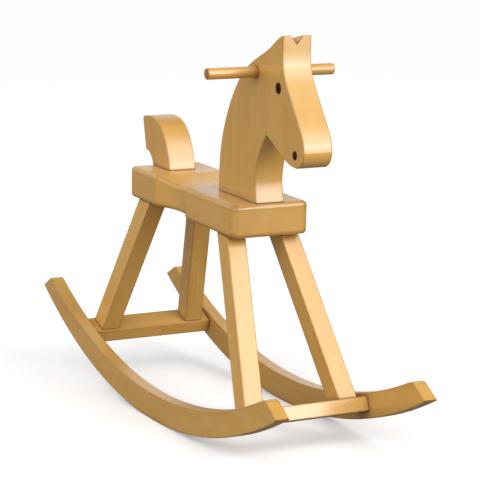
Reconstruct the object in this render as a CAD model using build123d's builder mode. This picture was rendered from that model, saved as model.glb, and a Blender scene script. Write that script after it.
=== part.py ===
from build123d import *
from math import cos, radians, sin, sqrt
import os

# A toddler's rocking horse sawn from solid beech: a thick waisted seat, a flat sawn head and
# neck, a flat tail, four splayed legs on two cross rails, and two curved rockers.
# Millimetres. +X is forward, +Y is the horse's left, +Z is up. The origin is the point of the
# floor midway between the two places where the rockers touch it.

# Stance: the head makes the horse nose-heavy, so it comes to rest rolled this far forward.
rest_tilt = 2.1

# Rockers: the upper edge has the larger radius, so they thin toward their tips
rocker_radius = 870.0
rocker_top_radius = 880.0
rocker_depth = 39.5
rocker_thickness = 20.0
rocker_gap = 203.0
rocker_reach = 421.0
rocker_top_reach = 386.0
rocker_nose = 14.0
rocker_heel = 4.5
rocker_easing = 1.5

# Cross rails, each tilted toward the middle of the horse
rail_depth = 39.0
rail_thickness = 21.0
rail_slope = 21.4
rail_lift = 2.0
rear_rail_x = -267.3
front_rail_x = 255.3
rail_easing = 1.0

# Seat, with a waist sawn into both sides and a dish across its top
seat_length = 363.0
seat_width = 119.0
seat_thickness = 48.0
seat_top = 339.0
seat_middle = -21.5
seat_corner = 7.5
seat_rounding = 6.5
dish_rounding = 6.0
saddle_middle = -53.0
saddle_length = 108.0
waist_depth = 15.0
waist_easing = 12.0
dish_depth = 8.5

# Legs: the axis of each leg starts at x, y on the underside of the seat and ends on its rail,
# shifted a little along the rail's slope
leg_depth = 33.0
leg_width = 29.0
leg_easing = 1.5
leg_overrun = 30.0
leg_top_y = 40.5
leg_foot_y = 73.0
rear_leg_top_x = -157.7
rear_leg_shift = -1.0
front_leg_top_x = 116.5
front_leg_shift = -3.0

# Head, neck and tail, all sawn from one thickness of board
board_thickness = 44.0
board_easing = 1.5
neck_back_x = 35.0
neck_front_x = 156.5
ear_front_x = 227.0
ear_top = 581.5
ear_rounding = 2.0
ear_groove_width = 18.2
ear_groove_depth = 11.8
ear_groove_rise = 15.0
ear_groove_length = 60.0
ear_shoulder = 9.0
muzzle_x = 293.5
tail_back_x = -202.0
tail_front_x = -138.5
tail_tip_rounding = 5.0

# Handle, eyes and nostrils
handle_x = 149.8
handle_height = 524.0
handle_radius = 8.0
handle_length = 197.0
handle_easing = 1.5
eye_place = (216.7, 509.3)
eye_radius = 7.5
eye_depth = 12.0
nostril_place = (268.5, 424.7)
nostril_radius = 5.8
nostril_depth = 10.0
plug_stand = 0.3
plug_easing = 0.25

# Hidden joinery
neck_dowel_radius = 6.0
neck_dowel_length = 70.0
neck_dowel_spacing = 84.0
tail_dowel_radius = 4.0
tail_dowel_length = 50.0
tail_dowel_spacing = 32.0
leg_dowel_radius = 6.0
leg_dowel_length = 60.0
foot_dowel_radius = 5.0
foot_dowel_up = 28.0
foot_dowel_down = 14.0
rail_dowel_radius = 4.0
rail_dowel_length = 36.0
rail_dowel_in_rocker = 13.0
rail_dowel_spacing = 20.0
screw_radius = 2.5
screw_head_radius = 5.0
screw_head_height = 3.0
screw_sink = 6.0
neck_screw_length = 85.0
neck_screw_spacing = 36.0
tail_screw_length = 75.0

# Directions of the horse itself. Everything is drawn on planes that are rolled forward about the
# centre of the rockers' running edge, so the horse keeps touching the floor below that centre.
tilt = radians(rest_tilt)
forward = Vector(cos(tilt), 0, -sin(tilt))
upward = Vector(sin(tilt), 0, cos(tilt))
leftward = Vector(0, 1, 0)
roll_centre = Vector(0, 0, rocker_radius)
level = Plane(origin=roll_centre - upward * rocker_radius, x_dir=forward, z_dir=upward)
side = Plane(origin=level.origin, x_dir=forward, z_dir=leftward * -1)
seat_bottom = seat_top - seat_thickness
half_gap = rocker_gap / 2

bottom_up = (Align.CENTER, Align.CENTER, Align.MIN)

RIGHT = -1
LEFT = 1
hand_names = {RIGHT: "right", LEFT: "left"}
pieces = []


def finish(piece, label):
    """Label a finished piece and keep it for writing."""
    piece.part.label = label
    pieces.append(piece.part)


def place(x, y, z):
    """The place x forward of, y to the left of and z above the horse's own level ground."""
    return level.from_local_coords(Vector(x, y, z))


def seen_level(shape):
    """The centre of a face or an edge, in the horse's own level coordinates."""
    return level.to_local_coords(shape.center())


def rise(radius, x):
    """How far an arc of this radius has risen at x from its lowest point."""
    return radius - sqrt(radius**2 - x**2)


def arc_radius(chord, depth):
    """The radius of a shallow arc from its chord and its depth."""
    return (chord**2 / 4 + depth**2) / (2 * depth)


def peg(plane, radius, length, mode=Mode.ADD):
    """A round peg, or the hole that it fills, centred on a plane and square to it."""
    with Locations(plane):
        Cylinder(radius, length, mode=mode)


def screw(plane, length, mode=Mode.ADD):
    """A countersunk wood screw, or its hole, along a plane's Z axis from a head in the plane."""
    with Locations(plane):
        Cone(screw_head_radius, screw_radius, screw_head_height, align=bottom_up, mode=mode)
    with Locations(plane.offset(screw_head_height)):
        Cylinder(screw_radius, length - screw_head_height, align=bottom_up, mode=mode)


# Cross rails
def rail_section(x):
    """The plane across a rail, in the middle of its length, with its X axis up its slope."""
    mid_rocker = (rise(rocker_radius, x) + rocker_depth + rise(rocker_top_radius, x)) / 2
    slope = radians(rail_slope) * (1 if x > 0 else -1)
    return Plane(
        origin=place(x, 0, mid_rocker + rail_lift),
        x_dir=forward * cos(slope) + upward * sin(slope),
        z_dir=leftward * -1,
    )


def rail_top(x):
    """The plane of a rail's upper face, with its X axis forward and its Z axis up."""
    section = rail_section(x)
    top_middle = section.origin + section.y_dir * (rail_thickness / 2)
    return Plane(origin=top_middle, x_dir=section.x_dir, z_dir=section.y_dir)


rail_x = {"rear": rear_rail_x, "front": front_rail_x}


def rail_end_planes(x, hand):
    """The planes in which the two dowels at one end of a rail are centred."""
    section = rail_section(x)
    y = hand * (half_gap + rail_dowel_in_rocker - rail_dowel_length / 2)
    return [
        Plane(
            origin=section.origin + leftward * y + section.x_dir * offset,
            x_dir=section.x_dir,
            z_dir=section.z_dir,
        )
        for offset in (-rail_dowel_spacing / 2, rail_dowel_spacing / 2)
    ]


# Legs: each is a plane at its top, looking down its axis, and the length of that axis
def leg_axis(end, hand):
    """The plane across the top of a leg with its Z axis down the leg, and the leg's length."""
    top_x = {"rear": rear_leg_top_x, "front": front_leg_top_x}[end]
    shift = {"rear": rear_leg_shift, "front": front_leg_shift}[end]
    top = place(top_x, hand * leg_top_y, seat_bottom)
    foot = rail_top(rail_x[end]).from_local_coords(Vector(shift, hand * leg_foot_y, 0))
    axis = (foot - top).normalized()
    return Plane(origin=top, x_dir=leftward.cross(axis), z_dir=axis), (foot - top).length


def foot_dowel_plane(end, hand):
    """The plane in which a foot dowel is centred."""
    across, length = leg_axis(end, hand)
    return across.offset(length - (foot_dowel_up - foot_dowel_down) / 2)


foot_dowel_length = foot_dowel_up + foot_dowel_down
corners = [(end, hand) for end in rail_x for hand in hand_names]

# Upright dowels and screws through the top of the seat into the neck and the tail
neck_middle = (neck_back_x + neck_front_x) / 2
tail_middle = (tail_back_x + tail_front_x) / 2
seat_face = level.offset(seat_top)
screw_face = level.offset(seat_bottom + screw_sink)


def row(plane, middle, spacing):
    """Two places on a plane, this far apart along the horse and either side of a middle."""
    return [
        Plane(origin=plane.origin + forward * (middle + offset), x_dir=forward, z_dir=plane.z_dir)
        for offset in (-spacing / 2, spacing / 2)
    ]


neck_dowel_planes = row(seat_face, neck_middle, neck_dowel_spacing)
tail_dowel_planes = row(seat_face, tail_middle, tail_dowel_spacing)
neck_screw_planes = row(screw_face, neck_middle, neck_screw_spacing)
tail_screw_plane = row(screw_face, tail_middle, 0)[0]
screw_places = [(plane, neck_screw_length) for plane in neck_screw_planes]
screw_places.append((tail_screw_plane, tail_screw_length))

# The handle bar and the plugs lie across the head
handle_plane = Plane(origin=place(handle_x, 0, handle_height), x_dir=forward, z_dir=leftward)


def plug_plane(spot, depth, hand):
    """The plane in the middle of a plug's hole, facing out of the head."""
    y = hand * (board_thickness - depth) / 2
    return Plane(origin=place(spot[0], y, spot[1]), x_dir=forward, z_dir=leftward * hand)


# Seat
waist_radius = arc_radius(saddle_length, waist_depth)
dish_radius = arc_radius(saddle_length, dish_depth)
with BuildPart() as seat_plank:
    with BuildSketch(level.offset(seat_bottom)) as seat_plan:
        with Locations((seat_middle, 0)):
            RectangleRounded(seat_length, seat_width, seat_corner)
        for hand in hand_names:
            with Locations((saddle_middle, hand * (seat_width / 2 - waist_depth + waist_radius))):
                Circle(waist_radius, mode=Mode.SUBTRACT)
        creases = seat_plan.vertices().filter_by(
            lambda corner: abs(abs(corner.X - saddle_middle) - saddle_length / 2) < 1
        )
        fillet(creases, waist_easing)
    extrude(amount=seat_thickness)
    fillet(seat_plank.edges().filter_by(Axis(level.origin, upward), reverse=True), seat_rounding)
    with BuildSketch(side) as dish:
        with Locations((saddle_middle, seat_top - dish_depth + dish_radius)):
            Circle(dish_radius)
    extrude(amount=seat_width, both=True, mode=Mode.SUBTRACT)
    dish_rims = seat_plank.edges().filter_by(
        lambda edge: abs(seen_level(edge).X - saddle_middle) < saddle_length / 2 - 5
        and seen_level(edge).Z > seat_top - 2 * seat_rounding
        and abs(edge.tangent_at(0.5).dot(leftward)) < 0.9
    )
    fillet(dish_rims, dish_rounding)
    for end, hand in corners:
        peg(leg_axis(end, hand)[0], leg_dowel_radius, leg_dowel_length, Mode.SUBTRACT)
    for plane in neck_dowel_planes:
        peg(plane, neck_dowel_radius, neck_dowel_length, Mode.SUBTRACT)
    for plane in tail_dowel_planes:
        peg(plane, tail_dowel_radius, tail_dowel_length, Mode.SUBTRACT)
    for plane, length in screw_places:
        screw(plane, length, Mode.SUBTRACT)
        peg(plane.offset(-screw_sink / 2), screw_head_radius, screw_sink, Mode.SUBTRACT)
finish(seat_plank, "seat_plank")

# Head and neck
with BuildPart() as head:
    with BuildSketch(side):
        with BuildLine():
            neck_front = Spline(
                (neck_front_x, seat_top), (151.5, 368), (159, 404.5), (183, 440.5),
                tangents=[(-0.2, 1), (0.8, 1)],
            )
            jaw = Spline(neck_front @ 1, (228, 418.5), (271, 407.5), tangents=[(1, -0.5), (1, 0)])
            muzzle = ThreePointArc(jaw @ 1, (287.4, 414.6), (muzzle_x, 431))
            face = Spline(
                muzzle @ 1, (271.5, 474.5), (245, 509.5), (ear_front_x, 560),
                tangents=[(-0.1, 1), (0, 1)],
            )
            brow = Line(face @ 1, (ear_front_x, ear_top))
            ear_back = Spline(
                brow @ 1, (192, 563.5), (154, 545.5), (132, 535), tangents=[(-1, -0.2), (-1, -0.53)]
            )
            mane = Spline(
                ear_back @ 1, (79, 487.5), (48, 430), (neck_back_x, seat_top),
                tangents=[(-1, -0.53), (0.02, -1)],
            )
            Line(mane @ 1, neck_front @ 0)
        make_face()
    extrude(amount=board_thickness / 2, both=True)
    ear_tip = head.edges().filter_by(lambda edge: seen_level(edge).Z > ear_top - 0.1)
    fillet(ear_tip, ear_rounding)
    # The groove that parts the ears is cut from the front and climbs a little toward the back.
    rise_angle = radians(ear_groove_rise)
    groove_end = Plane(
        origin=place(ear_front_x, 0, ear_top),
        x_dir=leftward,
        z_dir=forward * cos(rise_angle) - upward * sin(rise_angle),
    )
    with BuildSketch(groove_end) as groove:
        with BuildLine():
            Polyline(
                (0, -ear_groove_depth), (ear_groove_width / 2, 0), (board_thickness, 0),
                (board_thickness, ear_groove_length), (-board_thickness, ear_groove_length),
                (-board_thickness, 0), (-ear_groove_width / 2, 0), close=True,
            )
        make_face()
        shoulders = groove.vertices().filter_by(
            lambda corner: abs(abs(corner.X) - ear_groove_width / 2) < 0.1
        )
        fillet(shoulders, ear_shoulder)
    extrude(amount=ear_groove_length, both=True, mode=Mode.SUBTRACT)
    board_edges = head.faces().filter_by(Axis.Y).edges()
    fillet(board_edges.filter_by(lambda edge: seen_level(edge).Z > seat_top + 1), board_easing)
    peg(handle_plane, handle_radius, 2 * board_thickness, Mode.SUBTRACT)
    for hand in hand_names:
        peg(plug_plane(eye_place, eye_depth, hand), eye_radius, eye_depth, Mode.SUBTRACT)
        peg(plug_plane(nostril_place, nostril_depth, hand), nostril_radius, nostril_depth, Mode.SUBTRACT)
    for plane in neck_dowel_planes:
        peg(plane, neck_dowel_radius, neck_dowel_length, Mode.SUBTRACT)
    for plane, length in screw_places:
        screw(plane, length, Mode.SUBTRACT)
finish(head, "head_and_neck")

# Tail
with BuildPart() as tail:
    with BuildSketch(side):
        with BuildLine():
            back_cove = ThreePointArc((tail_back_x, seat_top), (-211.5, 353), (-229.5, 359.5))
            back = Line(back_cove @ 1, (-242, 410))
            crown = Spline(
                back @ 1, (-211, 413.5), (-173.5, 401.5), tangents=[(1, 0.25), (1, -0.7)]
            )
            front = Spline(
                crown @ 1, (-147.5, 368), (tail_front_x, seat_top), tangents=[(1, -0.7), (0.2, -1)]
            )
            Line(front @ 1, back_cove @ 0)
        make_face()
    extrude(amount=board_thickness / 2, both=True)
    tail_tip = tail.edges().filter_by(Axis.Y).sort_by(Axis.X)[0]
    fillet(tail_tip, tail_tip_rounding)
    board_edges = tail.faces().filter_by(Axis.Y).edges()
    fillet(board_edges.filter_by(lambda edge: seen_level(edge).Z > seat_top + 1), board_easing)
    for plane in tail_dowel_planes:
        peg(plane, tail_dowel_radius, tail_dowel_length, Mode.SUBTRACT)
    for plane, length in screw_places:
        screw(plane, length, Mode.SUBTRACT)
finish(tail, "tail_block")

# Handle bar, through the head behind the ears
with BuildPart() as handle:
    peg(handle_plane, handle_radius, handle_length)
    fillet(handle.edges().filter_by(GeomType.CIRCLE), handle_easing)
finish(handle, "handle_bar")

# Eyes and nostrils: dark plugs let into both sides of the head
for hand, hand_name in hand_names.items():
    for name, spot, radius, depth in (
        ("eye", eye_place, eye_radius, eye_depth),
        ("nostril", nostril_place, nostril_radius, nostril_depth),
    ):
        with BuildPart() as plug:
            peg(plug_plane(spot, depth, hand).offset(plug_stand / 2), radius, depth + plug_stand)
            outer_rim = plug.edges().filter_by(GeomType.CIRCLE).sort_by(Axis.Y)[-1 if hand == LEFT else 0]
            fillet(outer_rim, plug_easing)
        finish(plug, f"{hand_name}_{name}_plug")

# Cross rails, butted between the rockers
for end, x in rail_x.items():
    with BuildPart() as rail:
        with BuildSketch(rail_section(x)):
            RectangleRounded(rail_depth, rail_thickness, rail_easing)
        extrude(amount=half_gap, both=True)
        for hand in hand_names:
            peg(foot_dowel_plane(end, hand), foot_dowel_radius, foot_dowel_length, Mode.SUBTRACT)
            for plane in rail_end_planes(x, hand):
                peg(plane, rail_dowel_radius, rail_dowel_length, Mode.SUBTRACT)
    finish(rail, f"{end}_cross_rail")

# Legs, cut off along the underside of the seat and along the top of a rail
for end, hand in corners:
    across, length = leg_axis(end, hand)
    with BuildPart() as leg:
        with BuildSketch(across.offset(-leg_overrun)):
            RectangleRounded(leg_depth, leg_width, leg_easing)
        extrude(amount=length + 2 * leg_overrun)
        split(bisect_by=level.offset(seat_bottom), keep=Keep.BOTTOM)
        split(bisect_by=rail_top(rail_x[end]), keep=Keep.TOP)
        peg(across, leg_dowel_radius, leg_dowel_length, Mode.SUBTRACT)
        peg(foot_dowel_plane(end, hand), foot_dowel_radius, foot_dowel_length, Mode.SUBTRACT)
    finish(leg, f"{end}_{hand_names[hand]}_leg")

# Rockers
for hand, hand_name in hand_names.items():
    with BuildPart() as rocker:
        with BuildSketch(side.offset(-hand * (half_gap + rocker_thickness / 2))) as outline:
            with BuildLine():
                heel_height = rise(rocker_radius, rocker_reach)
                nose_height = rocker_depth + rise(rocker_top_radius, rocker_top_reach)
                edge = ThreePointArc(
                    (-rocker_reach, heel_height), (0, 0), (rocker_reach, heel_height)
                )
                top = ThreePointArc(
                    (-rocker_top_reach, nose_height), (0, rocker_depth), (rocker_top_reach, nose_height)
                )
                Line(edge @ 0, top @ 0)
                Line(edge @ 1, top @ 1)
            make_face()
            tips = outline.vertices().group_by(Axis.Y)
            fillet(tips[-1], rocker_nose)
            fillet(tips[0], rocker_heel)
        extrude(amount=rocker_thickness / 2, both=True)
        fillet(rocker.faces().filter_by(Axis.Y).edges(), rocker_easing)
        for x in rail_x.values():
            for plane in rail_end_planes(x, hand):
                peg(plane, rail_dowel_radius, rail_dowel_length, Mode.SUBTRACT)
    finish(rocker, f"{hand_name}_rocker")

# Hidden dowels
with BuildPart() as neck_dowels:
    for plane in neck_dowel_planes:
        peg(plane, neck_dowel_radius, neck_dowel_length)
finish(neck_dowels, "neck_dowels")

with BuildPart() as tail_dowels:
    for plane in tail_dowel_planes:
        peg(plane, tail_dowel_radius, tail_dowel_length)
finish(tail_dowels, "tail_dowels")

for end, x in rail_x.items():
    with BuildPart() as top_dowels:
        for hand in hand_names:
            peg(leg_axis(end, hand)[0], leg_dowel_radius, leg_dowel_length)
    finish(top_dowels, f"{end}_leg_top_dowels")

    with BuildPart() as foot_dowels:
        for hand in hand_names:
            peg(foot_dowel_plane(end, hand), foot_dowel_radius, foot_dowel_length)
    finish(foot_dowels, f"{end}_leg_foot_dowels")

    with BuildPart() as rail_dowels:
        for hand in hand_names:
            for plane in rail_end_planes(x, hand):
                peg(plane, rail_dowel_radius, rail_dowel_length)
    finish(rail_dowels, f"{end}_rail_dowels")

# Countersunk screws, driven up through the seat
with BuildPart() as neck_screws:
    for plane in neck_screw_planes:
        screw(plane, neck_screw_length)
finish(neck_screws, "neck_screws")

with BuildPart() as tail_screw:
    screw(tail_screw_plane, tail_screw_length)
finish(tail_screw, "tail_screw")

os.makedirs("parts", exist_ok=True)
for piece in pieces:
    export_step(piece, f"parts/{piece.label}.step")
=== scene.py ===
# %% [markdown]
# # A toddler's rocking horse in lacquered beech
#
# The horse is sawn from solid beech boards: a thick waisted seat, a flat head and neck, a flat
# tail, four splayed legs on two cross rails, and two curved rockers. A round handle bar goes
# through the head. Everything carries the same clear satin lacquer, and only the eyes and
# nostrils are dark.
#
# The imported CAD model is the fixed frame. Most of its boards already have the right shape, so
# they stay, and each gets a wood finish whose grain runs the way that board was cut. Small
# things that a close look would find plain are built again as meshes.

# %% Load the frame
import bpy
import bmesh
from math import cos, pi, radians, sin
from mathutils import Matrix, Vector


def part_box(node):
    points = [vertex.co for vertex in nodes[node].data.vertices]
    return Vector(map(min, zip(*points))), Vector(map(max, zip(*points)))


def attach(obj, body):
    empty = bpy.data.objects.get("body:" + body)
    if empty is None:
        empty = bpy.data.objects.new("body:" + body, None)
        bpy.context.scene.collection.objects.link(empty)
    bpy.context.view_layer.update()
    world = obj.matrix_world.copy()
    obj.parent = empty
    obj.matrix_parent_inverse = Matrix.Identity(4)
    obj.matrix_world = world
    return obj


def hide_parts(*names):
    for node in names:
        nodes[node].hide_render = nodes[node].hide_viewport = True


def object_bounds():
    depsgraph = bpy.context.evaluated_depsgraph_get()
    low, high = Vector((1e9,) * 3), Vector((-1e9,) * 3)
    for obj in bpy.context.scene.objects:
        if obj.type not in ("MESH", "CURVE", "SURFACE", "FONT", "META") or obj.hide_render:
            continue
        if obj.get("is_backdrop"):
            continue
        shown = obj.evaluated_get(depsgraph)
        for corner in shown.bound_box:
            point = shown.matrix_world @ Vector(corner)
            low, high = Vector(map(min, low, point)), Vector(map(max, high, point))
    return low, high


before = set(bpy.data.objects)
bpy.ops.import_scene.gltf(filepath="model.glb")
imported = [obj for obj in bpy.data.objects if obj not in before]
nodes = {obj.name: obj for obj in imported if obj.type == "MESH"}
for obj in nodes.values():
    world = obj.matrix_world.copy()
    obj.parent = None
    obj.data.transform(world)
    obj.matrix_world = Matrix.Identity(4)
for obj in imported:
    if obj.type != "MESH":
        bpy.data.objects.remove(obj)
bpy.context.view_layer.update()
scene = bpy.context.scene

# %% [markdown]
# ## The horse's own level
#
# The head makes the horse nose-heavy, so on a flat floor it comes to rest rolled a little
# forward on its rockers. Its maker drew it level, and its boards are square to that drawing,
# not to the floor. A matrix from the drawing to the floor is worth having once: the grain of
# every board and every small piece is then set out on the drawing, in plain numbers.

# %% Drawing-to-floor matrix
REST_TILT = radians(2.1)
ROCKER_RADIUS = 0.870
roll_centre = Matrix.Translation((0, 0, ROCKER_RADIUS))
to_floor = roll_centre @ Matrix.Rotation(REST_TILT, 4, "Y") @ roll_centre.inverted()
turn = to_floor.to_3x3()
FORWARD, LEFT, UP = (turn @ Vector(axis) for axis in ((1, 0, 0), (0, 1, 0), (0, 0, 1)))
print("forward on the drawing is", [round(value, 4) for value in FORWARD], "on the floor")

# %% [markdown]
# ## Building node groups
#
# Several effects below are used by more than one finish, so each is a node group with named
# inputs and outputs. Making sockets and links by hand takes many lines, so two small helpers
# do it: one makes an empty group with its sockets, and one adds a node, sets its values and
# plugs in whatever feeds it.

# %% Group and node helpers
def new_group(name, inputs, outputs):
    """An empty shader group. inputs is [(name, kind, default)] and outputs is [(name, kind)]."""
    group = bpy.data.node_groups.new(name, "ShaderNodeTree")
    for label, kind, default in inputs:
        socket = group.interface.new_socket(label, in_out="INPUT", socket_type=f"NodeSocket{kind}")
        socket.default_value = default
    for label, kind in outputs:
        group.interface.new_socket(label, in_out="OUTPUT", socket_type=f"NodeSocket{kind}")
    return group, group.nodes.new("NodeGroupInput"), group.nodes.new("NodeGroupOutput")


def add(tree, kind, settings=(), **sockets):
    """Adds a node, sets its properties, and fills or links its inputs.

    An input is given by its name, with _ for a space, or as i0, i1 and so on by its number.
    """
    node = tree.nodes.new(f"ShaderNode{kind}")
    for name, value in dict(settings).items():
        setattr(node, name, value)
    for name, value in sockets.items():
        by_number = name[0] == "i" and name[1:].isdigit()
        plug(tree, node, int(name[1:]) if by_number else name.replace("_", " "), value)
    return node


def plug(tree, node, name, value):
    """Links a socket to an input, or sets the input to a plain value."""
    if isinstance(value, bpy.types.NodeSocket):
        tree.links.new(value, node.inputs[name])
    else:
        node.inputs[name].default_value = value


def math(tree, operation, *values):
    """A Math node's result."""
    inputs = {f"i{number}": value for number, value in enumerate(values)}
    return add(tree, "Math", {"operation": operation}, **inputs).outputs[0]


def vector_math(tree, operation, first, second, output="Vector"):
    """A Vector Math node's result, a vector or a plain value."""
    node = add(tree, "VectorMath", {"operation": operation}, i0=first, i1=second)
    return node.outputs[output]


def spread(tree, value, low, high, new_low=0.0, new_high=1.0):
    """A value's range stretched, smoothly, to another range."""
    node = add(tree, "MapRange", {"interpolation_type": "SMOOTHSTEP"}, Value=value,
               From_Min=low, From_Max=high, To_Min=new_low, To_Max=new_high)
    return node.outputs["Result"]


def mix(tree, factor, first, second):
    """Two colours mixed by a factor."""
    node = add(tree, "Mix", {"data_type": "RGBA"}, i0=factor, i6=first, i7=second)
    return node.outputs[2]


# %% [markdown]
# ## Which way a board's grain runs
#
# Wood is not a pattern painted on a surface: it goes through the board. So the grain is worked
# out from each point's place in the solid, measured along the board, across its face and
# through its thickness. This group turns a point's place into those three distances. Every
# finish sets the two directions of its own board, and a shift, so that no two boards look as if
# they were cut from the same spot.

# %% Board axes group
def make_board_axes():
    group, given, made = new_group(
        "board_axes",
        [("Along", "Vector", (1, 0, 0)), ("Across", "Vector", (0, 1, 0)),
         ("Shift", "Vector", (0, 0, 0))],
        [("Place", "Vector"), ("End Grain", "Float")],
    )
    place = group.nodes.new("ShaderNodeTexCoord").outputs["Object"]
    along, across = given.outputs["Along"], given.outputs["Across"]
    through = vector_math(group, "CROSS_PRODUCT", along, across)
    distances = [
        vector_math(group, "DOT_PRODUCT", place, axis, "Value") for axis in (along, across, through)
    ]
    joined = add(group, "CombineXYZ", X=distances[0], Y=distances[1], Z=distances[2]).outputs[0]
    moved = vector_math(group, "ADD", joined, given.outputs["Shift"])
    group.links.new(moved, made.inputs["Place"])
    normal = group.nodes.new("ShaderNodeNewGeometry").outputs["Normal"]
    facing = vector_math(group, "DOT_PRODUCT", normal, along, "Value")
    end_grain = spread(group, math(group, "ABSOLUTE", facing), 0.75, 0.98)
    group.links.new(end_grain, made.inputs["End Grain"])
    return group


board_axes = make_board_axes()
print("group", board_axes.name, "has", len(board_axes.nodes), "nodes")

# %% [markdown]
# ## Beech
#
# Beech is a plain, pale wood. Close up it has three things to see. Broad soft bands follow the
# growth rings. Fine fibres run along the board. And short darker flecks, the ends of the rays,
# are scattered all over, a millimetre or two long. Each is a noise stretched by its own amount
# along the board, because a tree grows in fibres: the more a noise is squeezed along the grain,
# the longer its marks. A gentle wander added first keeps the lines from being ruler-straight.

# %% Beech grain group
PITH_DEPTH = 0.16


def stretched_noise(tree, place, squeeze, scale, detail=2.0, roughness=0.5):
    """Noise whose marks are long where squeeze is small. squeeze is along, across, through."""
    squeezed = vector_math(tree, "MULTIPLY", place, squeeze)
    noise = add(tree, "TexNoise", Vector=squeezed, Scale=scale, Detail=detail, Roughness=roughness)
    return noise.outputs["Fac"]


def make_beech_grain():
    group, given, made = new_group(
        "beech_grain",
        [("Place", "Vector", (0, 0, 0)), ("Ring Spacing", "Float", 0.012),
         ("Wander", "Float", 0.004)],
        [("Figure", "Float"), ("Fibre", "Float"), ("Flecks", "Float"), ("Relief", "Float")],
    )
    place = given.outputs["Place"]
    slow = vector_math(group, "MULTIPLY", place, (0.25, 1.0, 1.0))
    sway = add(group, "TexNoise", Vector=slow, Scale=14.0, Detail=2.0).outputs["Color"]
    centred = vector_math(group, "SUBTRACT", sway, (0.5, 0.5, 0.5))
    scaled = add(group, "VectorMath", {"operation": "SCALE"}, i0=centred, Scale=given.outputs["Wander"])
    bent = vector_math(group, "ADD", place, scaled.outputs["Vector"])
    # Growth rings are cylinders round the middle of the tree, which lies well outside the board.
    parts = add(group, "SeparateXYZ", Vector=bent)
    across = math(group, "POWER", parts.outputs["Y"], 2.0)
    through = math(group, "POWER", math(group, "ADD", parts.outputs["Z"], PITH_DEPTH), 2.0)
    ring_radius = math(group, "SQRT", math(group, "ADD", across, through))
    turns = math(group, "DIVIDE", ring_radius, given.outputs["Ring Spacing"])
    ring = math(group, "FRACT", turns)
    early_to_late = spread(group, ring, 0.0, 0.8)
    late_to_early = spread(group, ring, 0.9, 1.0)
    rings = math(group, "SUBTRACT", early_to_late, late_to_early)
    cloud = stretched_noise(group, bent, (0.3, 1.0, 1.0), 28.0, 3.0)
    patchy_rings = math(group, "MULTIPLY", rings, cloud)
    faint_rings = math(group, "MULTIPLY", patchy_rings, 0.22)
    figure = math(group, "ADD", faint_rings, math(group, "MULTIPLY", cloud, 0.85))
    fibre = stretched_noise(group, bent, (0.045, 1.0, 1.0), 1400.0, 3.0, 0.65)
    dashes = stretched_noise(group, bent, (0.28, 1.0, 0.55), 1500.0, 0.0)
    flecks = spread(group, dashes, 0.66, 0.76)
    relief = math(group, "SUBTRACT", fibre, math(group, "MULTIPLY", flecks, 0.8))
    results = {"Figure": figure, "Fibre": fibre, "Flecks": flecks, "Relief": relief}
    for name, value in results.items():
        group.links.new(value, made.inputs[name])
    return group


beech_grain = make_beech_grain()
print("group", beech_grain.name, "has", len(beech_grain.nodes), "nodes")

# %% [markdown]
# ## Painted reflection on rounded edges, and painted shade at joints
#
# Every edge of the horse was sanded round. A fine warm brown line is painted along each edge:
# it is painted reflection, standing in for the dark side of the studio that the rounded edges
# mirror. Where two boards meet, painted shade darkens the wood, standing in for the shade that
# falls into the joint. Both can be found by asking how crowded a place is. Rays sent a short way
# into the wood leave it again only near an outer edge; rays sent a short way out meet something
# only near a joint. The Ambient Occlusion node counts both, so it needs no texture and follows
# any shape.

# %% Edge and joint masks
def make_crowding(name, inside, output, open_value, crowded_value):
    """A mask of the places where short rays meet a surface soon, inside the wood or outside it."""
    group, given, made = new_group(name, [("Reach", "Float", 0.003)], [(output, "Float")])
    settings = {"samples": 6, "inside": inside, "only_local": inside}
    rays = add(group, "AmbientOcclusion", settings, Distance=given.outputs["Reach"])
    mask = spread(group, rays.outputs["AO"], open_value, crowded_value)
    group.links.new(mask, made.inputs[output])
    return group


# The edge mask gives painted reflection on the boards: a dark line along each rounded edge.
rounded_edge = make_crowding("rounded_edge", True, "Edge", 0.93, 0.58)
# The joint mask gives painted shade: the wood is darkened where shade falls between boards.
painted_joint_shade = make_crowding("painted_joint_shade", False, "Shade", 0.88, 0.35)
print("masks:", rounded_edge.name, "and", painted_joint_shade.name)

# %% [markdown]
# ## Lacquer
#
# The lacquer is satin: it shows soft reflections, a little blurred, and not everywhere alike,
# because it was rubbed down by hand and has been touched since. This group gives a roughness
# that drifts slowly over a board, with fine rubbing marks in it.

# %% Satin lacquer group
def make_satin_lacquer():
    group, given, made = new_group(
        "satin_lacquer",
        [("Place", "Vector", (0, 0, 0)), ("Roughness", "Float", 0.3), ("Drift", "Float", 0.08)],
        [("Roughness", "Float"), ("Orange Peel", "Float")],
    )
    place = given.outputs["Place"]
    cloud = add(group, "TexNoise", Vector=place, Scale=22.0, Detail=3.0).outputs["Fac"]
    rubbing = stretched_noise(group, place, (0.1, 1.0, 1.0), 900.0, 2.0)
    soft, fine = math(group, "MULTIPLY", cloud, 0.7), math(group, "MULTIPLY", rubbing, 0.3)
    both = math(group, "ADD", soft, fine)
    off_middle = math(group, "MULTIPLY", math(group, "SUBTRACT", both, 0.5), given.outputs["Drift"])
    value = math(group, "ADD", given.outputs["Roughness"], math(group, "MULTIPLY", off_middle, 2.0))
    peel = add(group, "TexNoise", Vector=place, Scale=240.0, Detail=1.0).outputs["Fac"]
    group.links.new(value, made.inputs["Roughness"])
    group.links.new(peel, made.inputs["Orange Peel"])
    return group


satin_lacquer = make_satin_lacquer()
print("group", satin_lacquer.name, "ready")

# %% [markdown]
# ## One finish for each board
#
# All boards share one recipe, and each has its own directions, its own place in the tree and
# a slightly different tone, as boards in one piece of furniture do. The Principled shader stays
# in the material: its base colour is the wood, and its coat is the lacquer over it.

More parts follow.
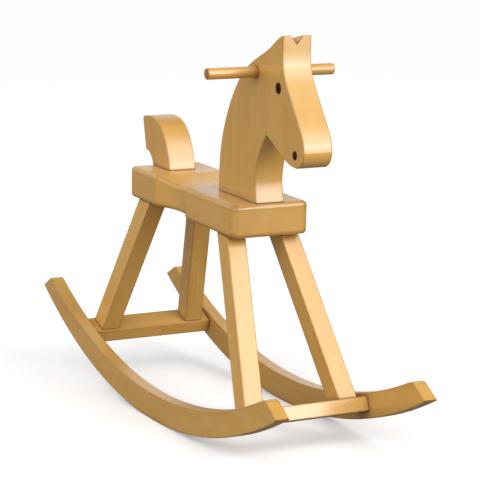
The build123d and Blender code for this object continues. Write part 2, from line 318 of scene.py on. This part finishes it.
# %% Lacquered beech recipe
HONEY = (0.60, 0.318, 0.064)
HONEY_PALE = (0.64, 0.365, 0.092)
HONEY_DEEP = (0.46, 0.215, 0.036)
# EDGE_BROWN darkens end grain. It is also painted along rounded edges as a dark line that stands in for
# their reflection of the dark studio.
EDGE_BROWN = (0.19, 0.055, 0.005)
# Colour of the painted shade near joints.
PAINTED_SHADE_BROWN = (0.20, 0.065, 0.010)


def group_node(tree, group, **sockets):
    """Places a group in a material with its own values."""
    node = tree.nodes.new("ShaderNodeGroup")
    node.node_tree = group
    for name, value in sockets.items():
        plug(tree, node, name.replace("_", " "), value)
    return node


def colour(rgb, tone=1.0):
    """A colour with its alpha, made lighter or darker by a tone."""
    return (*(min(1.0, channel * tone) for channel in rgb), 1.0)


def new_material(name):
    """A material with an empty node tree, and its Principled shader linked to the output."""
    material = bpy.data.materials.new(name)
    material.use_nodes = True
    tree = material.node_tree
    tree.nodes.clear()
    shader = tree.nodes.new("ShaderNodeBsdfPrincipled")
    out = tree.nodes.new("ShaderNodeOutputMaterial")
    tree.links.new(shader.outputs["BSDF"], out.inputs["Surface"])
    return material, tree, shader


def lacquered_beech(name, along, across, shift, tone=1.0, edge_reach=0.0028, end_depth=0.15,
                    joint_shade_reach=0.014, joint_shade_depth=0.6, ring_spacing=0.0035):
    """Clear satin lacquer over beech, with the grain of one board.

    The reaches say how wide the painted edge lines and painted joint shade are, and the depths how
    strong.
    """
    material, tree, shader = new_material(name)
    axes = group_node(tree, board_axes, Along=along, Across=across, Shift=shift)
    place = axes.outputs["Place"]
    grain = group_node(tree, beech_grain, Place=place, Ring_Spacing=ring_spacing)
    edge = group_node(tree, rounded_edge, Reach=edge_reach).outputs["Edge"]
    joint = group_node(tree, painted_joint_shade, Reach=joint_shade_reach).outputs["Shade"]
    lacquer = group_node(tree, satin_lacquer, Place=place, Roughness=0.45, Drift=0.1)
    figure = spread(tree, grain.outputs["Figure"], 0.25, 0.75)
    wood = mix(tree, figure, colour(HONEY, tone), colour(HONEY_PALE, tone))
    for mask, low, high, depth, brown in (
        (grain.outputs["Fibre"], 0.45, 0.80, 0.30, colour(HONEY_DEEP, tone)),
        (grain.outputs["Flecks"], 0.0, 1.0, 0.35, colour(HONEY_DEEP, 0.8 * tone)),
        (axes.outputs["End Grain"], 0.0, 1.0, end_depth, colour(EDGE_BROWN)),
        # Painted shade: the wood is darkened near joints, where shade falls between boards.
        (joint, 0.0, 1.0, joint_shade_depth, colour(PAINTED_SHADE_BROWN)),
        # Painted reflection: a dark brown line along each rounded edge stands in for the dark studio
        # mirrored there.
        (edge, 0.0, 1.0, 0.95, colour(EDGE_BROWN)),
    ):
        wood = mix(tree, spread(tree, mask, low, high, 0.0, depth), wood, brown)
    tree.links.new(wood, shader.inputs["Base Color"])
    tree.links.new(lacquer.outputs["Roughness"], shader.inputs["Roughness"])
    shader.inputs["Specular IOR Level"].default_value = 0.15
    worn_through = math(tree, "MULTIPLY", edge, 0.85)
    tree.links.new(math(tree, "SUBTRACT", 1.0, worn_through), shader.inputs["Coat Weight"])
    shader.inputs["Coat Roughness"].default_value = 0.25
    shader.inputs["Coat IOR"].default_value = 1.65
    pores = math(tree, "MULTIPLY", grain.outputs["Relief"], 0.6)
    height = math(tree, "ADD", pores, lacquer.outputs["Orange Peel"])
    bump = add(tree, "Bump", Strength=0.12, Distance=0.0002, Height=height)
    tree.links.new(bump.outputs["Normal"], shader.inputs["Normal"])
    return material


# %% [markdown]
# ## The boards
#
# The seat's grain runs the length of the horse, the head's and the tail's stand upright, the
# rockers are sawn from straight boards, and the rails and the handle bar run across. The thick
# seat has the widest rounded corners, so its painted dark edge line, which also stands in for
# the shade on its corners, is the widest. The handle bar's end grain took more lacquer than any
# other part. Painted shade darkens the handle bar where it enters the head, which shades it, and
# the head's ear groove and the foot of its neck.

# %% Grain of the large boards
def dress(node_name, material):
    """Gives a CAD node a new finish in every one of its material slots."""
    piece = nodes[node_name]
    for slot in piece.material_slots:
        slot.material = material


boards = {
    "seat_plank": (FORWARD, LEFT, (0.10, 0.02, -0.30), 1.0, {"edge_reach": 0.009}),
    "head_and_neck": (UP, FORWARD, (0.31, -0.08, 0.03), 0.99,
                      {"joint_shade_reach": 0.026, "joint_shade_depth": 0.75}),
    "tail_block": (UP, FORWARD, (0.77, 0.22, 0.05), 0.97, {}),
    "handle_bar": (LEFT, FORWARD, (0.45, -0.13, -0.50), 1.0,
                   {"end_depth": 0.6, "joint_shade_reach": 0.04, "joint_shade_depth": 0.9}),
    "rear_cross_rail": (LEFT, FORWARD, (0.62, 0.25, -0.02), 0.98, {}),
    "front_cross_rail": (LEFT, FORWARD, (0.93, -0.25, -0.04), 1.03, {}),
    "right_rocker": (FORWARD, UP, (0.15, -0.03, 0.13), 0.98, {}),
    "left_rocker": (FORWARD, UP, (0.55, -0.01, -0.12), 0.95, {}),
}
for name, (along, across, shift, tone, special) in boards.items():
    dress(name, lacquered_beech(f"beech_{name}", along, across, shift, tone, **special))
print("boards dressed:", ", ".join(boards))

# %% [markdown]
# ## The legs
#
# A leg is a straight square post that splays outward and along, and its grain runs down it. The
# direction comes from the CAD box of that leg: the top is near the middle of the horse, and the
# foot is out at the corner of the box. What the post itself takes up, measured level across its
# slant, comes off the box first, or the grain would lean more than the post does. Each leg has
# its own tone and its own place in the tree, because four posts are seldom cut from one length.

# %% Grain of the legs
LEVEL_DEPTH, LEVEL_WIDTH = 0.037, 0.029
leg_tones = {"rear_right_leg": 1.0, "rear_left_leg": 0.98, "front_right_leg": 1.05,
             "front_left_leg": 1.04}
for number, (name, tone) in enumerate(leg_tones.items()):
    low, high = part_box(name)
    size = high - low
    ahead = 1 if "front" in name else -1
    aside = 1 if "left" in name else -1
    run = Vector((ahead * (size.x - LEVEL_DEPTH), aside * (size.y - LEVEL_WIDTH), -size.z))
    down = run.normalized()
    face = down.cross(LEFT).normalized()
    shift = (0.21 * number, 0.05 + 0.04 * number, 0.02 * number)
    dress(name, lacquered_beech(f"beech_{name}", down, face, shift, tone))
    print(name, "runs", [round(value, 3) for value in down])

# %% [markdown]
# ## Turning a piece on its axis
#
# The eyes and nostrils are round pieces. A round piece is drawn as half an outline, from one end
# of its axis to the other, and turned about that axis, as on a lathe. The helper takes any
# outline of radius and height. A radius of nothing closes the shape with a single point.

# %% Turning a piece on its axis
def turned(name, outline, centre, axis, steps=48):
    """A closed round mesh: outline is [(radius, height)] from one end of the axis to the other."""
    axis = Vector(axis).normalized()
    aside = axis.orthogonal().normalized()
    ahead = axis.cross(aside)
    mesh = bmesh.new()
    rings = []
    for radius, height in outline:
        angles = [2 * pi * step / steps for step in range(steps)] if radius > 0 else [0.0]
        middle = centre + axis * height
        rings.append([
            mesh.verts.new(middle + radius * (aside * cos(angle) + ahead * sin(angle)))
            for angle in angles
        ])
    for lower, upper in zip(rings, rings[1:]):
        for step in range(steps):
            # Where a ring is a single point, two corners are the same and one is left out.
            corners = (lower[step % len(lower)], lower[(step + 1) % len(lower)],
                       upper[(step + 1) % len(upper)], upper[step % len(upper)])
            mesh.faces.new(list(dict.fromkeys(corners)))
    bmesh.ops.recalc_face_normals(mesh, faces=mesh.faces)
    data = bpy.data.meshes.new(name)
    mesh.to_mesh(data)
    mesh.free()
    data.shade_smooth()
    piece = bpy.data.objects.new(name, data)
    scene.collection.objects.link(piece)
    return piece


# %% [markdown]
# ## Dark stain
#
# The plugs are stained nearly black. The stain goes into the wood and leaves its grain in sight,
# so the beech grain still mixes two very dark browns. The rim of each plug was rubbed when the
# head was sanded, and is a little browner. It has hardly any gloss, or it would look grey.

# %% Dark stain
STAIN_DARK = (0.016, 0.0045, 0.0015)
STAIN_PALE = (0.040, 0.012, 0.0035)


def stained_plug(name):
    """Almost black brown hardwood, its end grain rubbed with a little lacquer."""
    material, tree, shader = new_material(name)
    axes = group_node(tree, board_axes, Along=LEFT, Across=FORWARD, Shift=(0.3, 0.1, 0.2))
    grain = group_node(tree, beech_grain, Place=axes.outputs["Place"], Ring_Spacing=0.002)
    lacquer = group_node(tree, satin_lacquer, Place=axes.outputs["Place"], Roughness=0.45, Drift=0.1)
    edge = group_node(tree, rounded_edge, Reach=0.001).outputs["Edge"]
    stained = mix(tree, grain.outputs["Figure"], colour(STAIN_DARK), colour(STAIN_PALE))
    rubbed = mix(tree, math(tree, "MULTIPLY", edge, 0.4), stained, colour(EDGE_BROWN, 0.5))
    tree.links.new(rubbed, shader.inputs["Base Color"])
    tree.links.new(lacquer.outputs["Roughness"], shader.inputs["Roughness"])
    shader.inputs["Specular IOR Level"].default_value = 0.04
    shader.inputs["Coat Weight"].default_value = 0.04
    shader.inputs["Coat Roughness"].default_value = 0.15
    bump = add(tree, "Bump", Strength=0.2, Distance=0.0002, Height=grain.outputs["Relief"])
    tree.links.new(bump.outputs["Normal"], shader.inputs["Normal"])
    return material


dark_plug = stained_plug("dark_stained_plug")
print("stain ready:", dark_plug.name)

# %% [markdown]
# ## Eyes and nostrils
#
# Each eye and nostril is a short piece of dark dowel, tapped into a drilled hole and sanded
# almost flush. It ends in a low dome with a softly broken rim. The outline starts at the foot of
# the hole, runs up the side, breaks the rim in two short steps and closes over the dome. Its
# place, depth and radius come from the CAD plug that it replaces.

# %% Eyes and nostrils
PLUG_DOME = 0.0005
PLUG_RIM = 0.0006
DOME_STEPS = 5
for kind in ("eye", "nostril"):
    for side, hand in (("right", -1), ("left", 1)):
        node = f"{side}_{kind}_plug"
        low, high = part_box(node)
        middle = (low + high) / 2
        radius = (high.z - low.z) / 2
        depth = high.y - low.y
        face = Vector((middle.x, high.y if hand > 0 else low.y, middle.z))
        outline = [(0, -depth), (radius, -depth), (radius, -PLUG_RIM),
                   (radius - 0.3 * PLUG_RIM, -0.3 * PLUG_RIM), (radius - PLUG_RIM, 0)]
        for step in range(1, DOME_STEPS + 1):
            left_over = 1 - step / DOME_STEPS
            outline.append(((radius - PLUG_RIM) * left_over, PLUG_DOME * (1 - left_over**2)))
        plug_piece = turned(f"{side}_{kind}", outline, face, (0, hand, 0))
        plug_piece.data.materials.append(dark_plug)
        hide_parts(node)
        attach(plug_piece, "horse")
        print(plug_piece.name, "is", round(2000 * radius, 1), "mm across")

# %% [markdown]
# ## Dowels
#
# The dowels are never seen on the finished horse. They are bare beech, paler than the lacquered
# boards and without gloss, and carry the same grain group with its own values, so that they look
# right in a view of the horse taken apart.

# %% Bare dowel finish
BARE_BEECH = (0.66, 0.47, 0.25)
BARE_DEEP = (0.50, 0.32, 0.14)


def bare_beech(name, along):
    """Unfinished beech: pale, dry and a little fuzzy."""
    material, tree, shader = new_material(name)
    axes = group_node(tree, board_axes, Along=along, Across=LEFT if along != LEFT else FORWARD)
    grain = group_node(tree, beech_grain, Place=axes.outputs["Place"], Ring_Spacing=0.0015)
    ended = math(tree, "MULTIPLY", axes.outputs["End Grain"], 0.4)
    fibre = spread(tree, grain.outputs["Fibre"], 0.4, 0.8)
    streaked = mix(tree, fibre, colour(BARE_BEECH), colour(BARE_DEEP))
    tree.links.new(mix(tree, ended, streaked, colour(BARE_DEEP, 0.7)), shader.inputs["Base Color"])
    shader.inputs["Roughness"].default_value = 0.85
    bump = add(tree, "Bump", Strength=0.4, Distance=0.0003, Height=grain.outputs["Relief"])
    tree.links.new(bump.outputs["Normal"], shader.inputs["Normal"])
    return material


upright_dowel = bare_beech("bare_upright_dowel", UP)
crossing_dowel = bare_beech("bare_crossing_dowel", LEFT)
dowels = [name for name in nodes if name.endswith("_dowels")]
for name in dowels:
    dress(name, crossing_dowel if "rail" in name else upright_dowel)
print("dowels dressed:", ", ".join(dowels))

# %% [markdown]
# ## Plated steel
#
# The screws are plated with zinc, a little yellow from its chromate bath. Plating is thin and
# uneven, so both its tint and its shine drift over a screw.

# %% Screw steel
ZINC_YELLOW = (0.62, 0.57, 0.45)
ZINC_GREY = (0.48, 0.46, 0.42)


def screw_steel(name):
    """Yellowish zinc plating with a soft drift in its shine."""
    material, tree, shader = new_material(name)
    place = tree.nodes.new("ShaderNodeTexCoord").outputs["Object"]
    plating = group_node(tree, satin_lacquer, Place=place, Roughness=0.32, Drift=0.12)
    tint = add(tree, "TexNoise", Vector=place, Scale=300.0, Detail=2.0).outputs["Fac"]
    plated = mix(tree, tint, colour(ZINC_YELLOW), colour(ZINC_GREY))
    tree.links.new(plated, shader.inputs["Base Color"])
    tree.links.new(plating.outputs["Roughness"], shader.inputs["Roughness"])
    shader.inputs["Metallic"].default_value = 1.0
    return material


steel = screw_steel("zinc_plated_steel")
print("steel ready:", steel.name)

# %% [markdown]
# ## The shape of a wood screw
#
# A wood screw has a countersunk head with a cross pressed into it, a bare shank, and a thread
# that climbs as it goes round. So each ring of the mesh is given a radius that depends on how
# far round and how far up it is. The cross is sunk the same way: where a point of the flat head
# lies inside one of its arms, it is pushed in.

# %% Wood screw
HEAD_RADIUS, SHANK_RADIUS, HEAD_HEIGHT = 0.0050, 0.0025, 0.0030
ROOT_RADIUS, THREAD_PITCH, TIP_LENGTH = 0.0017, 0.0024, 0.008
BARE_SHARE, RIDGE_STEEPNESS = 0.3, 3.0
CROSS_HALF_WIDTH, CROSS_REACH, CROSS_DEPTH = 0.0006, 0.0026, 0.0018


def cross_sunk(across, along):
    """How deep a point of the head is pressed in, if it lies inside an arm of the cross."""
    near, far = sorted((abs(across), abs(along)))
    return CROSS_DEPTH if near < CROSS_HALF_WIDTH and far < CROSS_REACH else 0.0


def wood_screw(mesh, head, length, steps=48, rings_per_turn=8, head_rings=20):
    """Adds one screw to a mesh, from the middle of its head straight up the horse."""
    columns = [2 * pi * step / steps for step in range(steps)]
    rows = []
    for ring in range(1, head_rings + 1):
        radius = HEAD_RADIUS * ring / head_rings
        rows.append([(radius, cross_sunk(radius * cos(angle), radius * sin(angle)))
                     for angle in columns])
    rows.append([(SHANK_RADIUS, HEAD_HEIGHT)] * steps)
    bare_end = HEAD_HEIGHT + BARE_SHARE * length
    rows.append([(SHANK_RADIUS, bare_end)] * steps)
    threads = int((length - bare_end) / THREAD_PITCH * rings_per_turn)
    for ring in range(1, threads):
        height = bare_end + ring * THREAD_PITCH / rings_per_turn
        point = min(1.0, (length - height) / TIP_LENGTH)
        row = []
        for angle in columns:
            climb = (height / THREAD_PITCH - angle / (2 * pi)) % 1.0
            ridge = max(0.0, 1.0 - abs(climb - 0.5) * RIDGE_STEEPNESS)
            row.append((point * (ROOT_RADIUS + (SHANK_RADIUS - ROOT_RADIUS) * ridge), height))
        rows.append(row)
    built = [
        [mesh.verts.new(head + UP * height + radius * (FORWARD * cos(angle) + LEFT * sin(angle)))
         for angle, (radius, height) in zip(columns, row)]
        for row in rows
    ]
    for lower, upper in zip(built, built[1:]):
        for step in range(steps):
            after = (step + 1) % steps
            mesh.faces.new((lower[step], lower[after], upper[after], upper[step]))
    ends = ((head + UP * CROSS_DEPTH, built[0]), (head + UP * length, built[-1]))
    for middle, ring in ends:
        tip = mesh.verts.new(middle)
        for step in range(steps):
            mesh.faces.new((tip, ring[step], ring[(step + 1) % steps]))


# %% [markdown]
# ## The three screws
#
# Two screws come up through the seat into the neck, and one into the tail. Only from below can
# their heads be seen, down in their recesses. The CAD box of each node gives the length of its
# screws and where the first one stands. The boxes are square to the floor and the screws are
# square to the drawing, so the small lean of the screws is taken off first.

# %% Screws
for node, count in (("neck_screws", 2), ("tail_screw", 1)):
    low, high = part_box(node)
    length = (high - low).z / UP.z - HEAD_RADIUS * abs(UP.x)
    spacing = (high.x - low.x - 2 * HEAD_RADIUS - length * UP.x) if count > 1 else 0.0
    first = Vector((low.x + HEAD_RADIUS, 0.0, low.z + (spacing + HEAD_RADIUS) * abs(UP.x)))
    mesh = bmesh.new()
    for number in range(count):
        wood_screw(mesh, first + FORWARD * spacing * number, length - HEAD_RADIUS * abs(UP.x))
    bmesh.ops.recalc_face_normals(mesh, faces=mesh.faces)
    data = bpy.data.meshes.new(f"threaded_{node}")
    mesh.to_mesh(data)
    mesh.free()
    data.materials.append(steel)
    piece = bpy.data.objects.new(f"threaded_{node}", data)
    scene.collection.objects.link(piece)
    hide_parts(node)
    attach(piece, "horse")
    print(piece.name, "has", len(data.polygons), "faces and is", round(1000 * length, 1), "mm long")

# %% [markdown]
# ## Floor
#
# The horse stands on a shooting table: a wide sheet of white opal plastic, lit a little from
# below as well as from above, which keeps the floor pale and its shadows light. What the horse
# itself receives from the sheet is much dimmer, as if grey card lay under it. Without that, the
# undersides and the sides, which mirror the floor, would lose their deep honey colour.

# %% Floor
FLOOR_REACH = 60.0
WHITE = (1.0, 1.0, 1.0, 1.0)
OPAL_WHITE = (0.88, 0.88, 0.88, 1.0)
CARD_GREY = (0.16, 0.16, 0.16, 1.0)
floor_mesh = bpy.data.meshes.new("pale_floor")
signs = ((-1, -1), (1, -1), (1, 1), (-1, 1))
corners = [(x * FLOOR_REACH, y * FLOOR_REACH, 0.0) for x, y in signs]
floor_mesh.from_pydata(corners, [], [(0, 1, 2, 3)])
floor = bpy.data.objects.new("pale_floor", floor_mesh)
scene.collection.objects.link(floor)
opal, opal_tree, opal_shader = new_material("opal_sheet")
opal_shader.inputs["Base Color"].default_value = OPAL_WHITE
opal_shader.inputs["Roughness"].default_value = 0.9
opal_shader.inputs["Specular IOR Level"].default_value = 0.1
opal_shader.inputs["Emission Color"].default_value = WHITE
opal_shader.inputs["Emission Strength"].default_value = 0.21
card = add(opal_tree, "BsdfDiffuse", Color=CARD_GREY)
camera_ray = opal_tree.nodes.new("ShaderNodeLightPath").outputs["Is Camera Ray"]
sheet = add(opal_tree, "MixShader", i0=camera_ray, i1=card.outputs[0], i2=opal_shader.outputs[0])
opal_out = next(node for node in opal_tree.nodes if node.type == "OUTPUT_MATERIAL")
opal_tree.links.new(sheet.outputs[0], opal_out.inputs["Surface"])
floor_mesh.materials.append(opal)
floor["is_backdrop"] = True
print("floor is", round(2 * FLOOR_REACH), "m wide")

# %% [markdown]
# ## The air around the table
#
# Beyond the floor there is nothing but white air. What the camera sees of it is plain white, and
# what the horse receives comes softly from four directions. One glow is behind the horse and is
# mirrored by the tops. One is on the horse's right, the side turned to the camera, and fills its
# flank. One is ahead and to the left, and one is near the camera and fills the upright fronts.

# %% White air around the table
world = bpy.data.worlds.new("studio")
scene.world = world
world.use_nodes = True
air = world.node_tree
air.nodes.clear()
direction = air.nodes.new("ShaderNodeTexCoord").outputs["Generated"]


def glow(toward, narrow, wide, strength):
    """Light from around one direction: full inside narrow, none outside wide, as cosines."""
    nearness = vector_math(air, "DOT_PRODUCT", direction, Vector(toward).normalized(), "Value")
    return spread(air, nearness, wide, narrow, 0.0, strength)


glows = (
    ((-0.9, 0.42, 0.12), 0.95, 0.6, 0.8),
    ((-0.1, -0.95, 0.25), 0.9, 0.2, 1.2),
    ((0.85, 0.35, 0.35), 0.8, 0.0, 0.5),
    ((0.9, -0.4, 0.10), 0.9, 0.1, 1.15),
)
strength = 0.0
for toward, narrow, wide, brightness in glows:
    strength = math(air, "ADD", strength, glow(toward, narrow, wide, brightness))
studio = add(air, "Background", Color=WHITE, Strength=strength)
white = add(air, "Background", Color=WHITE, Strength=1.0)
seen = air.nodes.new("ShaderNodeLightPath").outputs["Is Camera Ray"]
either = add(air, "MixShader", i0=seen, i1=studio.outputs[0], i2=white.outputs[0])
air_out = air.nodes.new("ShaderNodeOutputWorld")
air.links.new(either.outputs[0], air_out.inputs["Surface"])
print("glows in the air:", len(glows))

# %% [markdown]
# ## Soft boxes
#
# A tall narrow soft box stands in front, to the horse's left, and a low one stands under its
# middle. They do most of the work: they light the front faces, and the faces that lean back a
# little mirror them softly toward the camera, which turns their honey colour nearly cream. A
# tall box is used because the front faces lean by different amounts, and each has to find it.

# %% Soft boxes
def soft_box(name, place, aim, width, height, radiance):
    """A rectangular soft box, given by how bright its cloth looks."""
    data = bpy.data.lights.new(name, "AREA")
    data.shape = "RECTANGLE"
    data.size, data.size_y = width, height
    data.energy = radiance * pi * width * height
    lamp = bpy.data.objects.new(name, data)
    lamp.location = place
    lamp.rotation_mode = "QUATERNION"
    lamp.rotation_quaternion = (Vector(aim) - Vector(place)).to_track_quat("-Z", "Y")
    lamp.visible_camera = False
    scene.collection.objects.link(lamp)
    return lamp


HORSE_MIDDLE = (0.0, 0.0, 0.35)
key = soft_box("key_soft_box", (2.6, 1.3, 2.45), HORSE_MIDDLE, 0.8, 3.6, 5.6)
low_key = soft_box("low_soft_box", (2.6, 1.3, 0.70), HORSE_MIDDLE, 0.8, 1.2, 4.4)
print("soft boxes:", key.name, "and", low_key.name)

# %% [markdown]
# ## Camera
#
# The camera stands ahead of the horse and to its right, a little above its ears, and looks
# slightly down. It is nearly three metres away behind a long lens, so the near rocker and the
# far one look almost the same size.

# %% Camera
CAMERA_PLACE = (2.5389, -1.2334, 0.7497)
CAMERA_AZIMUTH, CAMERA_DOWN = radians(63.715), radians(9.849)
camera_data = bpy.data.cameras.new("camera")
camera_data.sensor_width = 36.0
camera_data.lens = 145.83
camera = bpy.data.objects.new("camera", camera_data)
scene.collection.objects.link(camera)
camera.location = CAMERA_PLACE
camera.rotation_euler = (pi / 2 - CAMERA_DOWN, 0.0, CAMERA_AZIMUTH)
scene.camera = camera
scene.view_settings.view_transform = "Standard"
print("camera is", round(camera.location.length, 2), "m from the middle of the floor")

# %% [markdown]
# ## Sizes
#
# The size of everything drawn, the floor left out, is printed in millimetres.

# %% Sizes
low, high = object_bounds()
print("size in mm:", [round(1000 * side) for side in high - low])
